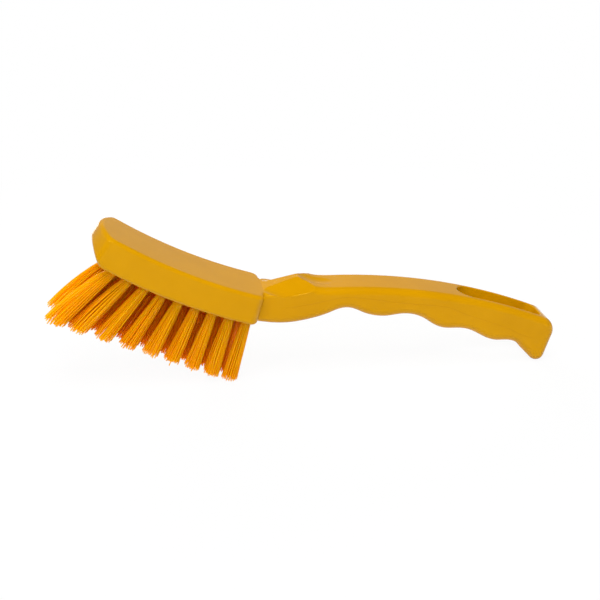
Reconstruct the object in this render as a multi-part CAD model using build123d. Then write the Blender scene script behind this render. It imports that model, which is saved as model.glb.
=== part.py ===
from build123d import *
import os
from math import asin, cos, degrees, pi, radians, sin, sqrt, tan
from random import Random

os.makedirs("parts", exist_ok=True)

# A grout brush as it lies on a table: it rests on the bristle tips at its heel and on the hook
# of its tail. X runs from the toe of the head to the tail, Z is up, and Y = 0 is its mid plane.
# Until the last step X is measured from the heel corner, and Z from the table.
# Lengths are in millimetres and angles in degrees.

# Head
head_length = 81.2
head_width = 33.6
head_thickness = 14.8
head_tilt = 26.2
head_bow_radius = 248.0
head_edge_radius = 1.9
heel_height = 43.5
heel_corner_radius = 4.0
toe_bow_radius = 27.0
toe_bow_bite = 0.8
toe_corner_radius = 4.0
toe_face_depth = 7.6
toe_cut = 9.6
toe_ridge_radius = 2.5
toe_underside_radius = 4.5
web_reach = 6.5
web_width = 15.0
web_radius = 5.0
web_underside_radius = 5.0

# Handle
handle_length = 143.9
handle_width = 22.5
crest_height = 48.0
neck_lap = 1.2
hook_tip_share = 0.965
handle_edge_share = 0.89
tail_corner_radius = 7.0
tail_reach = 8.3

# Side outline of the handle, in shares of the handle length and of the crest height
ridge_shares = ((-0.054, 0.857), (0.104, 0.983))
crest_shares = ((0.130, 0.993), (0.155, 0.965), (0.176, 0.938), (0.197, 0.923), (0.218, 0.917))
back_shares = ((0.238, 0.913), (0.593, 0.802), (0.957, 0.473))
hook_outer_share = (0.966, 0.0)
hook_inner_share = (0.934, 0.0)
hook_start_share = (0.888, 0.146)
grip_shares = (
    (0.870, 0.206), (0.852, 0.232), (0.829, 0.243), (0.801, 0.246), (0.770, 0.270), (0.736, 0.325),
    (0.692, 0.390), (0.650, 0.408), (0.614, 0.417), (0.579, 0.458), (0.545, 0.529), (0.502, 0.585),
    (0.464, 0.596), (0.412, 0.583), (0.370, 0.598), (0.340, 0.627), (0.304, 0.679), (0.279, 0.696),
    (0.252, 0.685), (0.219, 0.648), (0.179, 0.613), (0.140, 0.590), (0.099, 0.575), (0.040, 0.579),
    (-0.026, 0.612),
)

# Neck bevels and thumb rest
bevel_drop = 2.1
bevel_rise = 10.1
bevel_fall = 30.7
bevel_edge_radius = 0.9
bevel_graze = 6.0
bevel_valley_radius = 8.0
scoop_start_share = (0.124, 0.999)
scoop_end_share = (0.255, 0.924)
scoop_sag = 2.4
scoop_cross_radius = 15.0

# Hanging slot, square to the handle at its rear, with a round front end and a squarer rear end
slot_length_share = 0.305
slot_width = 14.6
slot_tilt = 17.8
slot_centre_share = (0.817, 0.613)
slot_corner_radius = 4.5
slot_rim_radius = 0.4

# Tufts of a few strands each, in three rows. The middle row has one fewer, set between the others.
tuft_count = 9
tuft_reach = 31.0
row_pitch = 8.5
heel_inset = 3.9
toe_inset = 16.9
hole_diameter = 4.4
hole_depth = 9.0
fit_clearance = 0.05
heel_lean = 17.4
toe_lean = 50.5
lean_shares = (0.0, 0.05, 0.14, 0.25, 0.38, 0.55, 0.73, 0.91, 1.0, 1.0)
strand_side = 0.5
strand_root = 1.2
ring_counts = (1, 6, 11)
ring_shares = (0.0, 0.42, 0.82)
flare_share = 0.55
trim_start = 17.0
trim_slope = 23.8
trim_spread = 0.7
trim_seed = 7

# Anchors, flat wire driven across each tuft near the bottom of its hole
anchor_thickness = 0.45
anchor_height = 2.0
anchor_bite = 0.6
anchor_inset = 1.0

# One overrun for cuts
overrun = 1.0


def handle_point(share):
    return Vector(handle_length * share[0] - neck_lap, crest_height * share[1])


# The bow centre of the head lies above its chord, square to it
half_chord = head_length / 2
bow_rise = sqrt(head_bow_radius**2 - half_chord**2)
bow_x = bow_rise * sin(radians(head_tilt)) - half_chord * cos(radians(head_tilt))
bow_z = heel_height + half_chord * sin(radians(head_tilt)) + bow_rise * cos(radians(head_tilt))
bow_half_angle = degrees(asin(half_chord / head_bow_radius))
heel_slope = head_tilt - bow_half_angle
toe_slope = head_tilt + bow_half_angle

# The tuft holes share out the underside of the head
underside_radius = head_bow_radius + head_thickness
underside_length = underside_radius * radians(toe_slope - heel_slope)
tuft_pitch = (underside_length - heel_inset - toe_inset) / (tuft_count - 1)


def head_point(slope, depth):
    """Side-view point where the head slopes by this angle, at a depth below its top face."""
    reach = head_bow_radius + depth
    return (bow_x - reach * sin(radians(slope)), bow_z - reach * cos(radians(slope)))


def make_head():
    """Bowed slab cut from its side view and from the plans of its toe and of its heel."""
    web_slope = heel_slope - degrees(web_reach / head_bow_radius)
    cut_slope = toe_slope - degrees(toe_cut / underside_radius)
    top_toe = head_point(toe_slope, 0)
    ridge_toe = head_point(toe_slope, toe_face_depth)
    low_toe = head_point(cut_slope, head_thickness)
    top_web = head_point(web_slope, 0)
    low_web = head_point(web_slope, head_thickness)
    outline = Curve() + [
        ThreePointArc(top_web, head_point(head_tilt, 0), top_toe),
        Line(top_toe, ridge_toe),
        Line(ridge_toe, low_toe),
        ThreePointArc(low_toe, head_point(head_tilt, head_thickness), low_web),
        Line(low_web, top_web),
    ]
    side = make_face(outline)
    side = fillet(corner_at(side, ridge_toe), toe_ridge_radius)
    side = fillet(corner_at(side, low_toe), toe_underside_radius)
    side = fillet(corner_at(side, low_web), web_underside_radius)
    slab = extrude(Plane.XZ * side, amount=head_width / 2, both=True)
    slab = slab & toe_prism() & heel_prism()
    rim = [edge for edge in slab.edges() if is_rim(edge)]
    return fillet(rim, head_edge_radius)


def corner_at(side, point):
    return side.vertices().sort_by_distance(Vector(*point))[0]


def slab_plane(slope):
    """Plane on the top of the head where it slopes by this angle, with its X toward the tail."""
    x, z = head_point(slope, 0)
    across = Vector(cos(radians(slope)), 0, -sin(radians(slope)))
    up = Vector(sin(radians(slope)), 0, cos(radians(slope)))
    return Plane(origin=(x, 0, z), x_dir=across, z_dir=up)


def toe_prism():
    """Plan of the head at its bowed toe."""
    half = head_width / 2
    sag = toe_bow_radius - sqrt(toe_bow_radius**2 - half**2)
    reach = 2 * head_length
    outline = Curve() + [
        ThreePointArc((toe_bow_bite + sag, -half), (toe_bow_bite, 0), (toe_bow_bite + sag, half)),
        Line((toe_bow_bite + sag, half), (reach, half)),
        Line((reach, half), (reach, -half)),
        Line((reach, -half), (toe_bow_bite + sag, -half)),
    ]
    plan = make_face(outline)
    plan = fillet(plan.vertices().sort_by(Axis.X)[:2], toe_corner_radius)
    return extrude(slab_plane(toe_slope) * plan, amount=2 * head_thickness, both=True)


def heel_prism():
    """Plan of the head at its heel, where it narrows to a web inside the neck."""
    half = head_width / 2
    web = web_width / 2
    reach = 2 * head_length
    outline = Polyline(
        (-reach, half), (0, half), (0, web), (reach, web),
        (reach, -web), (0, -web), (0, -half), (-reach, -half), close=True,
    )
    plan = make_face(outline)
    plan = fillet([corner_at(plan, (0, side * half)) for side in (-1, 1)], heel_corner_radius)
    plan = fillet([corner_at(plan, (0, side * web)) for side in (-1, 1)], web_radius)
    return extrude(slab_plane(heel_slope) * plan, amount=2 * head_thickness, both=True)


def is_rim(edge):
    """True for the edges that run around the top and the underside of the head."""
    start = edge.position_at(0)
    end = edge.position_at(1)
    depths = [Vector(p.X - bow_x, 0, p.Z - bow_z).length - head_bow_radius for p in (start, end)]
    return abs(depths[0] - depths[1]) < head_thickness / 2


def make_handle():
    """Handle and neck from the side outline, with rounded edges, neck bevels and a thumb rest."""
    ridge = [handle_point(share) for share in ridge_shares]
    back = ThreePointArc(*[handle_point(share) for share in back_shares])
    corner = back @ 1 + (back % 1) * tail_reach
    outer = handle_point(hook_outer_share)
    inner = handle_point(hook_inner_share)
    hook = handle_point(hook_start_share)
    crest = [ridge[1]] + [handle_point(share) for share in crest_shares] + [back @ 0]
    grip = [hook] + [handle_point(share) for share in grip_shares]
    unit = (1.0, 1.0)
    outline = Curve() + [
        Line(ridge[0], ridge[1]),
        Spline(*crest, tangents=[ridge[1] - ridge[0], back % 0], tangent_scalars=unit),
        back,
        Line(back @ 1, corner),
        Line(corner, outer),
        Line(outer, inner),
        Line(inner, hook),
        Spline(*grip, tangents=[hook - inner, grip[-1] - grip[-2]], tangent_scalars=unit),
        Line(grip[-1], ridge[0]),
    ]
    side = make_face(outline)
    tip_radius = hook_radius(corner, outer, inner, hook)
    side = fillet([corner_at(side, point) for point in (outer, inner)], tip_radius)
    side = fillet(corner_at(side, corner), tail_corner_radius)
    handle = extrude(Plane.XZ * side, amount=handle_width / 2, both=True)
    sides = handle.faces().sort_by(Axis.Y)
    handle = fillet(sides[0].edges() + sides[-1].edges(), tip_radius * handle_edge_share)
    handle = handle - bevel(-1) - bevel(1) - thumb_scoop()
    slot = hanging_slot()
    slotted = handle - slot
    walls = Axis((0, 0, 0), slot_direction())
    rims = new_edges(handle, slot, combined=slotted).filter_by(walls, reverse=True)
    return fillet(rims, slot_rim_radius)


def hook_radius(corner, outer, inner, hook):
    """Radius at the tip of the hook, which takes a share of the foot between its two faces."""
    foot = inner - outer
    turns = (foot.get_angle(outer - corner), foot.get_angle(hook - inner))
    return hook_tip_share * foot.length / sum(tan(radians(turn / 2)) for turn in turns)


def bevel(side):
    """Cutter over one neck bevel. It rises toward the tail out of the top of the head, which goes
    on into the neck, and its edge rounds over to the side of the handle a little way on."""
    half = handle_width / 2
    out = half + overrun
    fall = radians(bevel_fall)
    centre_out = half - bevel_edge_radius * cos(radians(bevel_graze))
    centre_up = -(bevel_edge_radius + centre_out * sin(fall)) / cos(fall)
    rounding = []
    for angle in (pi / 2 - fall, (pi / 2 - fall) / 2, 0):
        direction = Vector(cos(angle), sin(angle))
        rounding.append(Vector(centre_out, centre_up) + direction * bevel_edge_radius)
    low = (out, -out * tan(fall))
    slope = make_face(Polyline((0, 0), low, (out, crest_height), (0, crest_height), close=True))
    meeting = Vector(-centre_up / tan(fall), centre_up)
    edge = make_face(Curve() + [
        ThreePointArc(*rounding),
        Line(rounding[2], meeting),
        Line(meeting, rounding[0]),
    ])
    origin = (-neck_lap, 0, crest_height - bevel_drop)
    rise = Vector(cos(radians(bevel_rise)), 0, sin(radians(bevel_rise)))
    place = Plane(origin=origin, x_dir=(0, side, 0), z_dir=rise * side)
    bow = Plane(origin=(bow_x, 0, bow_z), z_dir=(0, 1, 0))
    slope = extrude(place * slope, amount=handle_length, both=True)
    slope = slope & bow * Cylinder(head_bow_radius, 2 * handle_width)
    slope = fillet(slope.edges().filter_by(GeomType.ELLIPSE), bevel_valley_radius)
    edge = extrude(place * edge, amount=handle_length, both=True)
    edge = edge & bow * Cylinder(head_bow_radius - bevel_edge_radius, 2 * handle_width)
    return slope + edge


def thumb_scoop():
    """Shallow dish behind the crest, an arc turned about a line above the handle."""
    start = handle_point(scoop_start_share)
    end = handle_point(scoop_end_share)
    along = (end - start).normalized()
    above = Vector(-along.Y, along.X)
    middle = (start + end) / 2
    low = middle - above * scoop_sag
    axis_point = low + above * scoop_cross_radius
    half = (end - start).length / 2
    arc_radius = (half**2 + scoop_sag**2) / (2 * scoop_sag)
    reach = scoop_cross_radius - overrun
    wide = sqrt(arc_radius**2 - (arc_radius - reach)**2) if reach < arc_radius else arc_radius
    rise = arc_radius - sqrt(arc_radius**2 - wide**2)
    left = low + above * rise - along * wide
    right = low + above * rise + along * wide
    outline = Curve() + [
        ThreePointArc(left, low, right),
        Line(right, axis_point + along * wide),
        Line(axis_point + along * wide, axis_point - along * wide),
        Line(axis_point - along * wide, left),
    ]
    dish = Plane.XZ * make_face(outline)
    axis = Axis((axis_point.X, 0, axis_point.Y), (along.X, 0, along.Y))
    return revolve(dish, axis)


def slot_direction():
    return (sin(radians(slot_tilt)), 0, cos(radians(slot_tilt)))


def hanging_slot():
    centre = handle_point(slot_centre_share)
    up = slot_direction()
    place = Plane(origin=(centre.X, 0, centre.Y), x_dir=(up[2], 0, -up[0]), z_dir=up)
    length = handle_length * slot_length_share
    opening = SlotOverall(length, slot_width)
    opening += Pos(length / 4, 0) * Rectangle(length / 2, slot_width)
    opening = fillet(opening.vertices().sort_by(Axis.X)[-2:], slot_corner_radius)
    return extrude(place * opening, amount=crest_height, both=True)


def lean_at(place):
    """Lean of a tuft from upright, at a place counted in pitches from the heel."""
    low = int(place)
    high = min(low + 1, len(lean_shares) - 1)
    share = lean_shares[low] + (lean_shares[high] - lean_shares[low]) * (place - low)
    return radians(heel_lean + (toe_lean - heel_lean) * share)


def tuft_plane(row, place):
    """Frame at the mouth of a tuft hole, with its Z out of the head along the tuft."""
    along = heel_inset + place * tuft_pitch
    slope = heel_slope + degrees(along / underside_radius)
    x, z = head_point(slope, head_thickness)
    lean = lean_at(place)
    origin = (x, row * row_pitch, z)
    return Plane(origin=origin, x_dir=(cos(lean), 0, -sin(lean)), z_dir=(-sin(lean), 0, -cos(lean)))


def tuft_hole(plane):
    depth = hole_depth + overrun
    hole = Cylinder(hole_diameter / 2, depth, align=(Align.CENTER, Align.CENTER, Align.MAX))
    return plane * Pos(0, 0, overrun) * hole


def anchor(plane, clearance):
    """Flat wire across the tuft, whose ends bite into the head. A clearance makes its pocket."""
    length = hole_diameter + 2 * anchor_bite
    wire = Box(
        anchor_thickness + 2 * clearance, length + 2 * clearance, anchor_height + 2 * clearance
    )
    return plane * Pos(0, 0, anchor_inset + anchor_height / 2 - hole_depth) * wire


def strand(plane, u, v, rng):
    """Square strand that leaves its tuft at u, v, flares outward and is trimmed at its tip."""
    start = plane.from_local_coords((u, v, -strand_root))
    grow = flare_share / tuft_reach
    heading = plane.x_dir * (u * grow) + plane.y_dir * (v * grow) + plane.z_dir
    trim = Vector(sin(radians(trim_slope)), 0, cos(radians(trim_slope)))
    to_trim = (Vector(-trim_start, 0, 0) - start).dot(trim) / heading.dot(trim)
    to_table = (strand_side / 2 - start.Z) / heading.Z
    reach = min(to_trim, to_table) * heading.length - rng.uniform(0, trim_spread)
    rod = Plane(origin=start, z_dir=heading) * Rectangle(strand_side, strand_side)
    return extrude(rod, amount=reach)


def make_tuft(plane, rng):
    """Packed root in its hole, with the strands that leave it, notched for its anchor."""
    radius = hole_diameter / 2 - fit_clearance
    depth = hole_depth - fit_clearance
    root = plane * Cylinder(radius, depth, align=(Align.CENTER, Align.CENTER, Align.MAX))
    strands = []
    for count, share in zip(ring_counts, ring_shares):
        twist = rng.uniform(0, 2 * pi)
        for index in range(count):
            angle = twist + 2 * pi * index / count
            u = radius * share * cos(angle)
            v = radius * share * sin(angle)
            strands.append(strand(plane, u, v, rng))
    return root.fuse(*strands) - anchor(plane, fit_clearance)


def make_block(planes):
    """Head and handle in one moulding, with the tuft holes and the hanging slot."""
    block = make_head() + make_handle()
    cuts = []
    for plane in planes:
        cuts.append(tuft_hole(plane))
        cuts.append(anchor(plane, fit_clearance))
    return block - cuts


row_names = {"near": -1, "middle": 0, "far": 1}
tuft_planes = {}
for row_name, row in row_names.items():
    places = range(tuft_count) if row else [number + 1 / 2 for number in range(tuft_count - 1)]
    for number, place in enumerate(places, 1):
        tuft_planes[f"tuft_{row_name}_{number}"] = tuft_plane(row, place)

rng = Random(trim_seed)
nodes = {"brush_block": make_block(tuft_planes.values())}
for name, plane in tuft_planes.items():
    nodes[name] = make_tuft(plane, rng)
nodes["tuft_anchors"] = Compound([anchor(plane, 0).solid() for plane in tuft_planes.values()])

# The part's origin is the middle of its footprint on the table
boxes = [node.bounding_box() for node in nodes.values()]
middle_x = (min(box.min.X for box in boxes) + max(box.max.X for box in boxes)) / 2
lowest = min(box.min.Z for box in boxes)
shift_home = Pos(-middle_x, 0, -lowest)

for name, node in nodes.items():
    export_step(shift_home * node, f"parts/{name}.step")
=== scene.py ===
import math
from random import Random

import bpy
import numpy as np
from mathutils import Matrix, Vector


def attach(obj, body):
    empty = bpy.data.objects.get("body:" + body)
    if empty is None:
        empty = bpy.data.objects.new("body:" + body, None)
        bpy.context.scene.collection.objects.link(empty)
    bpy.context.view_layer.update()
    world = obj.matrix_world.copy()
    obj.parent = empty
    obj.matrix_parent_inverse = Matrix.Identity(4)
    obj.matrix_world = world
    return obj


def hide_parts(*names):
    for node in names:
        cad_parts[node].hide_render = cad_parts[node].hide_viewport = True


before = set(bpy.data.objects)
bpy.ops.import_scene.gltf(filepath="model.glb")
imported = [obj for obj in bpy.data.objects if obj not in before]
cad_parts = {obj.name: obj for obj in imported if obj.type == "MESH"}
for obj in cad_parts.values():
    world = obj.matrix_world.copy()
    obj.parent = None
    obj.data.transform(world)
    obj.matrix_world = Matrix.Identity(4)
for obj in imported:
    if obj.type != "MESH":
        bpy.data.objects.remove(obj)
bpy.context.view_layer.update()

# Everything is in metres, in the frame of the CAD part: X from the toe to the tail, Z up.
# Leans are in degrees, the camera's lens in millimetres, the power of lamps in watts, and
# textures in cells per metre.

# Head, as in the part's source: its heel corner, and the bow that its tufts stand on
HEEL_X, HEEL_Z = -0.02193, 0.0435
HEAD_LENGTH, HEAD_THICKNESS = 0.0812, 0.0148
HEAD_TILT, BOW_RADIUS = math.radians(26.2), 0.248

# Tufts, counted from the heel. The middle row stands half a pitch on.
ROWS = (("near", 9, -1, 0.0), ("middle", 8, 0, 0.5), ("far", 9, 1, 0.0))
LAST_STEP = 8
ROW_PITCH = 0.0085
HEEL_INSET, TOE_INSET = 0.0039, 0.0169

# Lean of the tufts at the heel, how much more those at the toe lean, and how that grows
HEEL_LEAN, MORE_LEAN = 17.4, 33.1
LEAN_SHARES = (0.0, 0.05, 0.14, 0.25, 0.38, 0.55, 0.73, 0.91, 1.0)

# Filaments of a tuft, packed in rings (count, radius) in its hole
FILAMENT_RADIUS = 0.00026
FILAMENT_SIDES = 6
FILAMENT_BENDS = 8
FILAMENT_EDGE = math.radians(65)
RINGS = ((1, 0.0), (6, 0.00052), (12, 0.00102), (17, 0.00148), (20, 0.00188))
ROOT_DEPTH = 0.0045
SEED = 11

# Slope that a filament gains per metre from the axis of its tuft, and how much more of it
# the tufts at the toe have sideways
HEEL_FAN, TOE_FAN = 29.0, 34.0
TOE_SPLAY_SHARE = 0.7

# Random slope and bow of a filament, the bow toward the toe of the last tuft's filaments,
# and the share of the way to the toe at which that bow starts
STRAY_SLOPE, CURL = 0.0015, 0.0002
TOE_BULGE, BULGE_START_SHARE = 0.0016, 0.75

# A filament at the outside of the brush has a random tone between these shares of the full one;
# further in, the share drops as painted shade, toward the deeper orange
TONE_SHARES = (0.45, 1.0)
OUTERMOST = ROW_PITCH + RINGS[-1][1]

# Line along which the filaments are trimmed, from where it meets the table
TRIM_X, TRIM_SLOPE = -0.03893, math.radians(23.8)

# Uneven ends: random length, the share of filaments left longer and by how much at most, and
# how far above the table all of them stop
TRIM_SCATTER = 0.00035
LONG_SHARE, LONG_REACH = 0.05, 0.0008
TABLE_GAP = 0.00005

# Line where the two halves of the mould met, along the side of the handle: (X, Z)
PARTING_LINE = (
    (-0.0163, 0.0359), (-0.008, 0.0363), (0.008, 0.0385), (0.016, 0.0396), (0.026, 0.0383),
    (0.040, 0.0358), (0.058, 0.0330), (0.066, 0.0315), (0.074, 0.0278), (0.090, 0.0216),
    (0.098, 0.0182), (0.103, 0.0154), (0.1144, 0.0112),
)

# Distances from the line at which its mark starts and is full, and the length of its faint ends
LINE_EDGE, LINE_CORE, LINE_FADE = 0.00035, 0.0001, 0.01

# The line is only on faces that point sideways: Y of a normal from which it starts, and is full
SIDEWAYS = (0.9, 0.98)

# Surface of the moulding: softness of its edges, in how they catch the light, and its relief
EDGE_SOFTNESS = 0.0005
RELIEF, RELIEF_STRENGTH, SKIN_SHARE = 0.00008, 0.5, 0.05
FLOW_CELLS, FLOW_DETAIL, SPECK_CELLS, SKIN_CELLS = 38.0, 3.0, 75.0, 420.0

# Radius of a speck in its cell: where it starts, and where it is full
SPECK_EDGE, SPECK_CORE = 0.026, 0.018

# Colours of the moulding
FLOW_COLOURS = ((0.3, (0.515, 0.236, 0.0)), (0.7, (0.565, 0.264, 0.0)))
SPECK_COLOUR, LINE_COLOUR = (0.16, 0.055, 0.0), (0.40, 0.15, 0.0)
LINE_SHARE = 0.22

# Colours of the filaments, from the inside of the brush to its outside, and of light that
# comes through them. The deeper orange inside is painted shade, for light that has come through
# their neighbours.
FILAMENT_AND_DEPTH_SHADE_COLOURS = ((0.0, (1.0, 0.36, 0.0)), (1.0, (0.94, 0.80, 0.0)))
THROUGH_COLOUR = (1.0, 0.56, 0.0, 1.0)
THROUGH_SHARE = 0.6

# Drawn wire of the anchors: cells across it and along it
WIRE_CELLS = (4000.0, 60.0, 4000.0)
WIRE_COLOURS = ((0.0, (0.42, 0.42, 0.41)), (1.0, (0.68, 0.68, 0.66)))

# Camera
PHOTO_EYE = Vector((-0.0700, -0.4525, 0.2190))
PHOTO_AIM = Vector((-0.00383, 0.0, 0.0350))
PHOTO_LENS, SENSOR_WIDTH = 62.1, 36.0

# Table: up to the first distance it shows a little of its own shading, so that the shadow is
# seen, and from the second distance on it only glows white
TABLE_SIZE, TABLE_DROP, TABLE_GREY = 12.0, 0.0002, 0.72
SHADOW_REACH, SHADOW_GLOWS = (0.12, 0.4), (0.93, 1.0)
TABLE_MIRRORED_SHARE = 0.2

# Brightness of the studio as light on the brush, and of its walls and ceiling in reflections
WORLD_LEVEL = 0.39
MIRRORED_LEVELS = (0.34, 0.12)
CEILING_HEIGHTS = (0.40, 0.66)

# Lamps: place, what they aim at, width and height, power, and whether reflections show them
SOFTBOXES = {
    "front_strip": ((-0.085, -0.9, 0.68), (0, 0, 0.03), (0.045, 0.3), 3.2, True),
    "left_strip": ((-0.75, -0.65, 0.6), (-0.06, 0, 0.03), (0.05, 0.25), 2.0, True),
    "overhead_softbox": ((0, -0.4, 1.1), (0, 0, 0.03), (0.8, 0.8), 10.6, False),
    "back_softbox": ((-0.2, 0.9, 0.25), (-0.08, 0, 0.03), (0.9, 0.35), 12.0, False),
}


def deselect():
    """Nothing selected, as an operator acts on all that is."""
    for item in bpy.context.selected_objects:
        item.select_set(False)
    bpy.context.view_layer.objects.active = None


def new_material(name):
    """Material, with its nodes, links and main shader."""
    material = bpy.data.materials.new(name)
    material.use_nodes = True
    tree = material.node_tree
    return material, tree.nodes, tree.links, tree.nodes["Principled BSDF"]


def plain_math(nodes, links, operation, first, second=None):
    """Math node on two inputs, each a socket or a number. Returns its output."""
    node = nodes.new("ShaderNodeMath")
    node.operation = operation
    for socket, value in zip(node.inputs, (first, second)):
        if isinstance(value, bpy.types.NodeSocket):
            links.new(value, socket)
        elif value is not None:
            socket.default_value = value
    return node.outputs[0]


def map_range(nodes, links, source, from_range, to_range=(0.0, 1.0)):
    """Value moved from one range to another, and held within it."""
    node = nodes.new("ShaderNodeMapRange")
    node.inputs["From Min"].default_value, node.inputs["From Max"].default_value = from_range
    node.inputs["To Min"].default_value, node.inputs["To Max"].default_value = to_range
    links.new(source, node.inputs["Value"])
    return node.outputs["Result"]


def colour_ramp(nodes, links, source, stops):
    """Colours by position, from a value between 0 and 1."""
    node = nodes.new("ShaderNodeValToRGB")
    for element, (position, colour) in zip(node.color_ramp.elements, stops):
        element.position, element.color = position, (*colour, 1.0)
    links.new(source, node.inputs["Fac"])
    return node.outputs["Color"]


def noise(nodes, links, place, scale, detail=2.0):
    """Soft random value between 0 and 1 at each point."""
    node = nodes.new("ShaderNodeTexNoise")
    node.inputs["Scale"].default_value = scale
    node.inputs["Detail"].default_value = detail
    links.new(place, node.inputs["Vector"])
    return node.outputs["Fac"]


def mix_colours(nodes, links, share, first, second):
    """First colour, with a share of the second. Each is a socket or a colour."""
    node = nodes.new("ShaderNodeMix")
    node.data_type = "RGBA"
    links.new(share, node.inputs["Factor"])
    for socket, value in ((node.inputs["A"], first), (node.inputs["B"], second)):
        if isinstance(value, bpy.types.NodeSocket):
            links.new(value, socket)
        else:
            socket.default_value = (*value, 1.0)
    return node.outputs["Result"]


def parting_mark(nodes, links, place):
    """Share of the parting line at a point: 1 on the line, 0 away from it and at its ends."""
    apart = nodes.new("ShaderNodeSeparateXYZ")
    links.new(place, apart.inputs["Vector"])
    start, end = PARTING_LINE[0][0], PARTING_LINE[-1][0]
    along = map_range(nodes, links, apart.outputs["X"], (start, end))
    height = nodes.new("ShaderNodeFloatCurve")
    curve = height.mapping.curves[0]
    top = max(z for x, z in PARTING_LINE)
    points = [((x - start) / (end - start), z / top) for x, z in PARTING_LINE]
    curve.points[0].location, curve.points[1].location = points[0], points[-1]
    for point in points[1:-1]:
        curve.points.new(*point)
    height.mapping.update()
    links.new(along, height.inputs["Value"])
    line = plain_math(nodes, links, "MULTIPLY", height.outputs["Value"], top)
    off = plain_math(nodes, links, "SUBTRACT", apart.outputs["Z"], line)
    off = plain_math(nodes, links, "ABSOLUTE", off)
    mark = map_range(nodes, links, off, (LINE_EDGE, LINE_CORE))
    facing = nodes.new("ShaderNodeNewGeometry")
    normal = nodes.new("ShaderNodeSeparateXYZ")
    links.new(facing.outputs["Normal"], normal.inputs["Vector"])
    sideways = plain_math(nodes, links, "ABSOLUTE", normal.outputs["Y"])
    side = map_range(nodes, links, sideways, SIDEWAYS)
    mark = plain_math(nodes, links, "MULTIPLY", mark, side)
    for limit in (start, end):
        inner = limit + math.copysign(LINE_FADE, start + end - 2 * limit)
        within = map_range(nodes, links, apart.outputs["X"], (limit, inner))
        mark = plain_math(nodes, links, "MULTIPLY", mark, within)
    return mark


def block_plastic():
    """Glossy opaque yellow moulding, with faint flow, a parting line and a few dark specks."""
    material, nodes, links, shader = new_material("yellow_moulded_plastic")
    place = nodes.new("ShaderNodeTexCoord").outputs["Object"]
    flow = noise(nodes, links, place, FLOW_CELLS, FLOW_DETAIL)
    colour = colour_ramp(nodes, links, flow, FLOW_COLOURS)

    speck = nodes.new("ShaderNodeTexVoronoi")
    speck.inputs["Scale"].default_value = SPECK_CELLS
    links.new(place, speck.inputs["Vector"])
    speckle = map_range(nodes, links, speck.outputs["Distance"], (SPECK_EDGE, SPECK_CORE))
    colour = mix_colours(nodes, links, speckle, colour, SPECK_COLOUR)

    parting = parting_mark(nodes, links, place)
    shade = plain_math(nodes, links, "MULTIPLY", parting, LINE_SHARE)
    colour = mix_colours(nodes, links, shade, colour, LINE_COLOUR)
    links.new(colour, shader.inputs["Base Color"])

    rounded = nodes.new("ShaderNodeBevel")
    rounded.samples = 6
    rounded.inputs["Radius"].default_value = EDGE_SOFTNESS
    skin = noise(nodes, links, place, SKIN_CELLS)
    skin = plain_math(nodes, links, "MULTIPLY", skin, SKIN_SHARE)
    height = plain_math(nodes, links, "ADD", skin, parting)
    bump = nodes.new("ShaderNodeBump")
    bump.inputs["Strength"].default_value = RELIEF_STRENGTH
    bump.inputs["Distance"].default_value = RELIEF
    links.new(height, bump.inputs["Height"])
    links.new(rounded.outputs["Normal"], bump.inputs["Normal"])
    links.new(bump.outputs["Normal"], shader.inputs["Normal"])

    shader.inputs["Roughness"].default_value = 0.1
    shader.inputs["IOR"].default_value = 1.5
    shader.inputs["Specular Tint"].default_value = (1.0, 0.76, 0.16, 1.0)
    return material


def filament_plastic():
    """Shiny translucent yellow filament, each a little lighter or darker than the next, and a
    deeper orange inside the brush, painted shade for the light that has come through its
    neighbours."""
    material, nodes, links, shader = new_material("yellow_filament")
    # The attribute carries painted shade inside the brush as well as each filament's own random
    # tone
    tone_and_depth_shade = nodes.new("ShaderNodeAttribute")
    tone_and_depth_shade.attribute_name = "tone_and_depth_shade"
    colour = colour_ramp(nodes, links, tone_and_depth_shade.outputs["Fac"], FILAMENT_AND_DEPTH_SHADE_COLOURS)
    links.new(colour, shader.inputs["Base Color"])
    shader.inputs["Roughness"].default_value = 0.08
    shader.inputs["IOR"].default_value = 1.5
    shader.inputs["Specular Tint"].default_value = (1.0, 0.9, 0.6, 1.0)
    through = nodes.new("ShaderNodeBsdfTranslucent")
    through.inputs["Color"].default_value = THROUGH_COLOUR
    blend = nodes.new("ShaderNodeMixShader")
    blend.inputs[0].default_value = THROUGH_SHARE
    links.new(shader.outputs[0], blend.inputs[1])
    links.new(through.outputs[0], blend.inputs[2])
    links.new(blend.outputs[0], nodes["Material Output"].inputs["Surface"])
    return material


def anchor_steel():
    """Flat steel wire, drawn lengthwise."""
    material, nodes, links, shader = new_material("anchor_steel")
    shader.inputs["Metallic"].default_value = 1.0
    shader.inputs["Roughness"].default_value = 0.35
    stretch = nodes.new("ShaderNodeMapping")
    stretch.inputs["Scale"].default_value = WIRE_CELLS
    links.new(nodes.new("ShaderNodeTexCoord").outputs["Object"], stretch.inputs["Vector"])
    drawn = noise(nodes, links, stretch.outputs["Vector"], 1.0)
    links.new(colour_ramp(nodes, links, drawn, WIRE_COLOURS), shader.inputs["Base Color"])
    return material


def underside(along):
    """Point on the underside of the head at a length from its heel, in the mid plane."""
    half = HEAD_LENGTH / 2
    rise = math.sqrt(BOW_RADIUS**2 - half**2)
    centre_x = HEEL_X + rise * math.sin(HEAD_TILT) - half * math.cos(HEAD_TILT)
    centre_z = HEEL_Z + half * math.sin(HEAD_TILT) + rise * math.cos(HEAD_TILT)
    reach = BOW_RADIUS + HEAD_THICKNESS
    slope = HEAD_TILT - math.asin(half / BOW_RADIUS) + along / reach
    return Vector((centre_x - reach * math.sin(slope), 0, centre_z - reach * math.cos(slope)))


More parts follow.
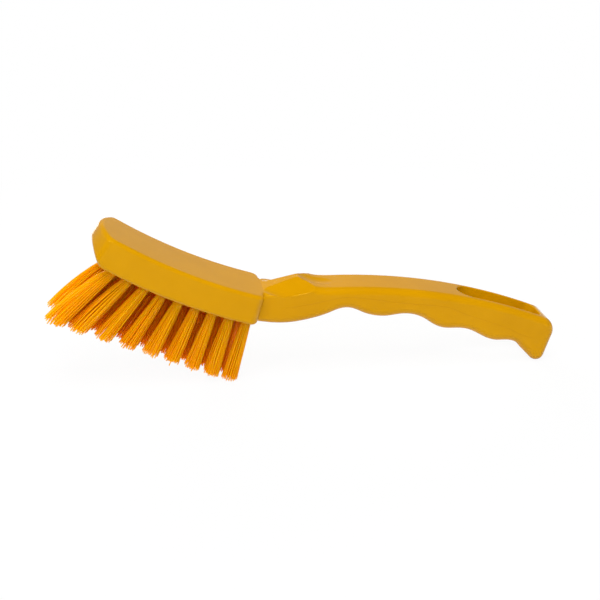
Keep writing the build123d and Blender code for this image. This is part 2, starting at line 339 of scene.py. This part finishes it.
def tuft_places():
    """Name, mouth, lean and step of each tuft."""
    length = (BOW_RADIUS + HEAD_THICKNESS) * 2 * math.asin(HEAD_LENGTH / 2 / BOW_RADIUS)
    pitch = (length - HEEL_INSET - TOE_INSET) / LAST_STEP
    for row, count, side, first in ROWS:
        for number in range(count):
            step = first + number
            low, high = LEAN_SHARES[int(step)], LEAN_SHARES[min(int(step) + 1, LAST_STEP)]
            lean = math.radians(HEEL_LEAN + MORE_LEAN * (low + (high - low) * (step % 1)))
            mouth = underside(HEEL_INSET + step * pitch) + Vector((0, side * ROW_PITCH, 0))
            yield f"{row}_{number + 1}", mouth, lean, step


def model_filament():
    """Straight filament of unit length, with rings along it to bend, closed at both ends."""
    deselect()
    bpy.ops.mesh.primitive_circle_add(
        vertices=FILAMENT_SIDES, radius=FILAMENT_RADIUS, fill_type="NGON", location=(0, 0, 0)
    )
    filament = bpy.context.object
    filament.name = "filament"
    bpy.ops.object.mode_set(mode="EDIT")
    bpy.ops.mesh.select_all(action="SELECT")
    stretch = {"value": (0, 0, 1 / FILAMENT_BENDS)}
    for bend in range(FILAMENT_BENDS):
        bpy.ops.mesh.extrude_region_move(TRANSFORM_OT_translate=stretch)
    bpy.ops.mesh.select_all(action="SELECT")
    bpy.ops.mesh.normals_make_consistent(inside=False)
    bpy.ops.object.mode_set(mode="OBJECT")
    bpy.ops.object.shade_smooth_by_angle(angle=FILAMENT_EDGE)
    return filament


def lay_filament(template, rest, start, leave, heading, reach, curl, tone_and_depth_shade):
    """Copy of the filament, laid from the depth of its hole to its trimmed end."""
    mesh = template.data.copy()
    filament = bpy.data.objects.new("filament_copy", mesh)
    bpy.context.scene.collection.objects.link(filament)
    inside = (leave - start).length
    travel = rest[:, 2] * (inside + reach)
    outside = np.clip(travel - inside, 0.0, None)
    across = heading.cross(Vector((0, 1, 0))).normalized()
    up = across.cross(heading)
    bow = 4 * (outside / reach) * (1 - outside / reach)
    points = (
        np.array(start)
        + np.outer(np.minimum(travel, inside) / inside, np.array(leave - start))
        + np.outer(outside, np.array(heading))
        + np.outer(bow, np.array(curl))
        + np.outer(rest[:, 0], np.array(across))
        + np.outer(rest[:, 1], np.array(up))
    )
    mesh.vertices.foreach_set("co", points.astype(np.float32).ravel())
    mark = mesh.attributes.new("tone_and_depth_shade", "FLOAT", "POINT")
    mark.data.foreach_set("value", np.full(len(points), tone_and_depth_shade, np.float32))
    mesh.update()
    return filament


def grow_tuft(name, mouth, lean, step, template, rest, rng):
    """Filaments that leave one hole, fan out, curl a little and are trimmed along the line."""
    axis = Vector((-math.sin(lean), 0, -math.cos(lean)))
    along = Vector((math.cos(lean), 0, -math.sin(lean)))
    across = Vector((0, 1, 0))
    trim = Vector((math.sin(TRIM_SLOPE), 0, math.cos(TRIM_SLOPE)))
    toe_share = step / LAST_STEP
    fan = HEEL_FAN + (TOE_FAN - HEEL_FAN) * toe_share
    splay = fan * (1 + TOE_SPLAY_SHARE * toe_share)
    bulge_share = max(0.0, (toe_share - BULGE_START_SHARE) / (1 - BULGE_START_SHARE))
    bulge = along * (-TOE_BULGE * bulge_share)
    grown = []
    for count, out in RINGS:
        twist = rng.uniform(0, 2 * math.pi)
        for index in range(count):
            around = twist + 2 * math.pi * index / count
            offset = along * (out * math.cos(around)) + across * (out * math.sin(around))
            stray = along * rng.gauss(0, STRAY_SLOPE) + across * rng.gauss(0, STRAY_SLOPE)
            spread = Vector((offset.x * fan, offset.y * splay, offset.z * fan))
            heading = (axis + spread + stray).normalized()
            leave = mouth + offset
            reach = (Vector((TRIM_X, 0, 0)) - leave).dot(trim) / heading.dot(trim)
            reach += rng.gauss(0, TRIM_SCATTER)
            if rng.random() < LONG_SHARE:
                reach += rng.uniform(0, LONG_REACH)
            reach = min(reach, (leave.z - FILAMENT_RADIUS - TABLE_GAP) / -heading.z)
            curl = along * rng.gauss(0, CURL) + across * rng.gauss(0, CURL)
            curl += bulge * ((1 - math.cos(around)) / 2)
            start = leave - axis * ROOT_DEPTH
            # Painted shade: filaments inside the brush are made a deeper orange, for light that
            # has come through their neighbours; the random share is their own tone
            outer = max(abs(leave.y) / OUTERMOST, toe_share**3)
            tone_and_depth_shade = outer**2 * rng.uniform(*TONE_SHARES)
            grown.append(lay_filament(template, rest, start, leave, heading, reach, curl, tone_and_depth_shade))
    deselect()
    for item in grown:
        item.select_set(True)
    bpy.context.view_layer.objects.active = grown[0]
    bpy.ops.object.join()
    tuft = grown[0]
    tuft.name = tuft.data.name = f"bristles_{name}"
    return tuft


def set_camera():
    """Camera where the photograph was taken from."""
    data = bpy.data.cameras.new("photo_camera")
    data.sensor_width = SENSOR_WIDTH
    data.lens = PHOTO_LENS
    data.clip_start, data.clip_end = 0.01, 50.0
    camera = bpy.data.objects.new("photo_camera", data)
    bpy.context.scene.collection.objects.link(camera)
    camera.location = PHOTO_EYE
    camera.rotation_euler = (PHOTO_AIM - PHOTO_EYE).to_track_quat("-Z", "Y").to_euler()
    bpy.context.scene.camera = camera


def seen_share(nodes, links, kinds):
    """1 for rays of these kinds, and 0 for the others."""
    path = nodes.new("ShaderNodeLightPath")
    share = path.outputs[kinds[0]]
    for kind in kinds[1:]:
        share = plain_math(nodes, links, "MAXIMUM", share, path.outputs[kind])
    return share


def lay_floor():
    """White table that shows as the white background and keeps the brush's shadow."""
    deselect()
    bpy.ops.mesh.primitive_plane_add(size=TABLE_SIZE, location=(0, 0, -TABLE_DROP))
    floor = bpy.context.object
    floor.name = "floor"
    material, nodes, links, shader = new_material("white_table")
    shader.inputs["Base Color"].default_value = (TABLE_GREY, TABLE_GREY, TABLE_GREY, 1.0)
    shader.inputs["Roughness"].default_value = 0.9
    shader.inputs["Specular IOR Level"].default_value = 0.0
    glow = nodes.new("ShaderNodeEmission")
    glow.inputs["Strength"].default_value = 1.0
    place = nodes.new("ShaderNodeVectorMath")
    place.operation = "LENGTH"
    links.new(nodes.new("ShaderNodeTexCoord").outputs["Object"], place.inputs[0])
    whiter = map_range(nodes, links, place.outputs["Value"], SHADOW_REACH, SHADOW_GLOWS)
    seen = seen_share(nodes, links, ("Is Camera Ray", "Is Transmission Ray"))
    share = plain_math(nodes, links, "MULTIPLY", seen, whiter)
    mirrored = seen_share(nodes, links, ("Is Glossy Ray",))
    mirrored = plain_math(nodes, links, "MULTIPLY", mirrored, TABLE_MIRRORED_SHARE)
    share = plain_math(nodes, links, "MAXIMUM", share, mirrored)
    blend = nodes.new("ShaderNodeMixShader")
    links.new(share, blend.inputs[0])
    links.new(shader.outputs[0], blend.inputs[1])
    links.new(glow.outputs[0], blend.inputs[2])
    links.new(blend.outputs[0], nodes["Material Output"].inputs["Surface"])
    floor.data.materials.append(material)


def light_world():
    """White studio, white to the eye, whose ceiling is darker than its walls in reflections."""
    world = bpy.data.worlds.new("white_studio")
    bpy.context.scene.world = world
    world.use_nodes = True
    nodes, links = world.node_tree.nodes, world.node_tree.links
    sky = nodes["Background"]
    direction = nodes.new("ShaderNodeSeparateXYZ")
    links.new(nodes.new("ShaderNodeTexCoord").outputs["Generated"], direction.inputs["Vector"])
    walls = map_range(nodes, links, direction.outputs["Z"], CEILING_HEIGHTS, MIRRORED_LEVELS)
    change = plain_math(nodes, links, "SUBTRACT", walls, WORLD_LEVEL)
    glossy = seen_share(nodes, links, ("Is Glossy Ray",))
    level = plain_math(nodes, links, "MULTIPLY", glossy, change)
    level = plain_math(nodes, links, "ADD", level, WORLD_LEVEL)
    seen = seen_share(nodes, links, ("Is Camera Ray", "Is Transmission Ray"))
    level = plain_math(nodes, links, "MAXIMUM", level, seen)
    links.new(level, sky.inputs["Strength"])
    sky.inputs["Color"].default_value = (1.0, 1.0, 1.0, 1.0)


def add_softbox(name, place, aim, size, power, mirrored):
    """Soft lamp, which may be left out of reflections."""
    data = bpy.data.lights.new(name, "AREA")
    data.shape = "RECTANGLE"
    data.size, data.size_y = size
    data.energy = power
    lamp = bpy.data.objects.new(name, data)
    bpy.context.scene.collection.objects.link(lamp)
    lamp.visible_glossy = mirrored
    lamp.location = Vector(place)
    lamp.rotation_euler = (Vector(aim) - Vector(place)).to_track_quat("-Z", "Y").to_euler()


for node, material in (("brush_block", block_plastic()), ("tuft_anchors", anchor_steel())):
    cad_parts[node].data.materials.clear()
    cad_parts[node].data.materials.append(material)

yellow_filament = filament_plastic()
template = model_filament()
rest = np.array([vertex.co for vertex in template.data.vertices])
rng = Random(SEED)
for name, mouth, lean, step in tuft_places():
    tuft = grow_tuft(name, mouth, lean, step, template, rest, rng)
    tuft.data.materials.append(yellow_filament)
    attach(tuft, "root")
    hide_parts(f"tuft_{name}")
bpy.data.objects.remove(template)

set_camera()
lay_floor()
light_world()
for lamp, settings in SOFTBOXES.items():
    add_softbox(lamp, *settings)

bpy.context.scene.view_settings.view_transform = "Standard"
